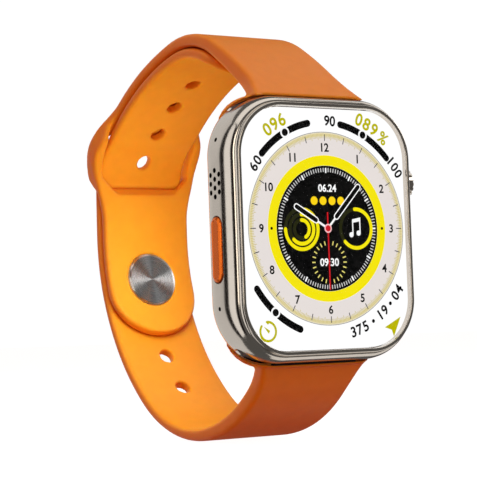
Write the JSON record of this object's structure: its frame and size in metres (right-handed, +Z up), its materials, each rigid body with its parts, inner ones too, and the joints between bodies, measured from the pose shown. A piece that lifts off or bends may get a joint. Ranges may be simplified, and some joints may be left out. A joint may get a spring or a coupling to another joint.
{
  "type": "smartwatch",
  "caption": "Rectangular smartwatch with rounded corners, guarded crown, action button and a pin-and-tuck silicone band closed into a loop.",
  "frame": {"origin": "middle of the flat of the rear sensor crystal, which rests on the wrist", "axes": "+Z up towards twelve o'clock, +Y from the screen back into the loop of the band, +X towards the crown"},
  "size_m": [0.0452, 0.0686, 0.0797],
  "materials": {
    "case_metal": "satin titanium-coloured metal",
    "front_crystal": "polished flat crystal",
    "display": "lit display with a printed-looking dial",
    "rear_crystal": "polished black crystal",
    "band_silicone": "smooth matte orange silicone",
    "orange_metal": "satin anodised orange",
    "clasp_steel": "circular brushed steel",
    "fastener_steel": "plain steel",
    "brass": "turned brass",
    "seal_rubber": "matte black rubber",
    "circuit_board": "green solder mask",
    "battery_foil": "dark foil pouch",
    "copper": "enamelled copper",
    "black_plastic": "moulded black plastic"
  },
  "bodies": {
    "watch": {"case_frame": "case_metal", "front_glass": "front_crystal", "display_panel": "display", "display_gasket": "seal_rubber", "back_cover": "case_metal", "back_gasket": "seal_rubber", "sensor_crystal": "rear_crystal", "back_screw_1": "fastener_steel", "back_screw_2": "fastener_steel", "back_screw_3": "fastener_steel", "back_screw_4": "fastener_steel", "main_board": "circuit_board", "display_connector": "black_plastic", "chip_shield": "fastener_steel", "battery": "battery_foil", "vibration_motor": "fastener_steel", "gps_antenna": "copper", "speaker_module": "black_plastic", "speaker_mesh": "fastener_steel", "microphone": "fastener_steel", "charging_coil": "copper", "sensor_board": "circuit_board", "crown_seal": "seal_rubber", "crown_bush": "brass", "crown_switch": "black_plastic", "action_seal": "seal_rubber", "action_switch": "black_plastic", "side_seal": "seal_rubber", "side_switch": "black_plastic", "upper_lug": "black_plastic", "lower_lug": "black_plastic", "upper_strap": "band_silicone", "lower_strap": "band_silicone", "closure_disc": "clasp_steel", "closure_cap": "clasp_steel"},
    "crown_carriage": {"crown_thrust_plate": "fastener_steel"},
    "crown": {"crown_knob": "case_metal", "crown_shaft": "fastener_steel", "crown_clip": "fastener_steel", "crown_magnet": "fastener_steel"},
    "action_button": {"action_button": "orange_metal"},
    "side_button": {"side_button": "case_metal"},
    "upper_release": {"upper_release_button": "case_metal"},
    "upper_latch": {"upper_latch_stud": "fastener_steel"},
    "lower_release": {"lower_release_button": "case_metal"},
    "lower_latch": {"lower_latch_stud": "fastener_steel"}
  },
  "joints": [
    {"name": "crown_press", "type": "slide", "parent": "watch", "child": "crown_carriage", "axis": [-1, 0, 0], "range_m": [0, 0.0004], "stiffness_N_per_m": 3000, "springref_m": -0.0002},
    {"name": "crown_turn", "type": "hinge", "parent": "crown_carriage", "child": "crown", "pos_m": [0.0205, -0.0059, 0.009], "axis": [1, 0, 0], "continuous": true},
    {"name": "action_press", "type": "slide", "parent": "watch", "child": "action_button", "axis": [1, 0, 0], "range_m": [0, 0.00035], "stiffness_N_per_m": 3000, "springref_m": -0.0002},
    {"name": "side_press", "type": "slide", "parent": "watch", "child": "side_button", "axis": [-1, 0, 0], "range_m": [0, 0.00035], "stiffness_N_per_m": 3000, "springref_m": -0.0002},
    {"name": "upper_release_press", "type": "slide", "parent": "watch", "child": "upper_release", "axis": [0, -1, 0], "range_m": [0, 0.0012], "stiffness_N_per_m": 1000, "springref_m": -0.0002},
    {"name": "upper_latch_slide", "type": "slide", "parent": "watch", "child": "upper_latch", "axis": [0, -1, 0], "range_m": [0, 0.0012]},
    {"name": "lower_release_press", "type": "slide", "parent": "watch", "child": "lower_release", "axis": [0, -1, 0], "range_m": [0, 0.0012], "stiffness_N_per_m": 1000, "springref_m": -0.0002},
    {"name": "lower_latch_slide", "type": "slide", "parent": "watch", "child": "lower_latch", "axis": [0, -1, 0], "range_m": [0, 0.0012]}
  ],
  "couplings": [
    {"joint": "upper_latch_slide", "follows": "upper_release_press", "ratio": 1},
    {"joint": "lower_latch_slide", "follows": "lower_release_press", "ratio": 1}
  ]
}
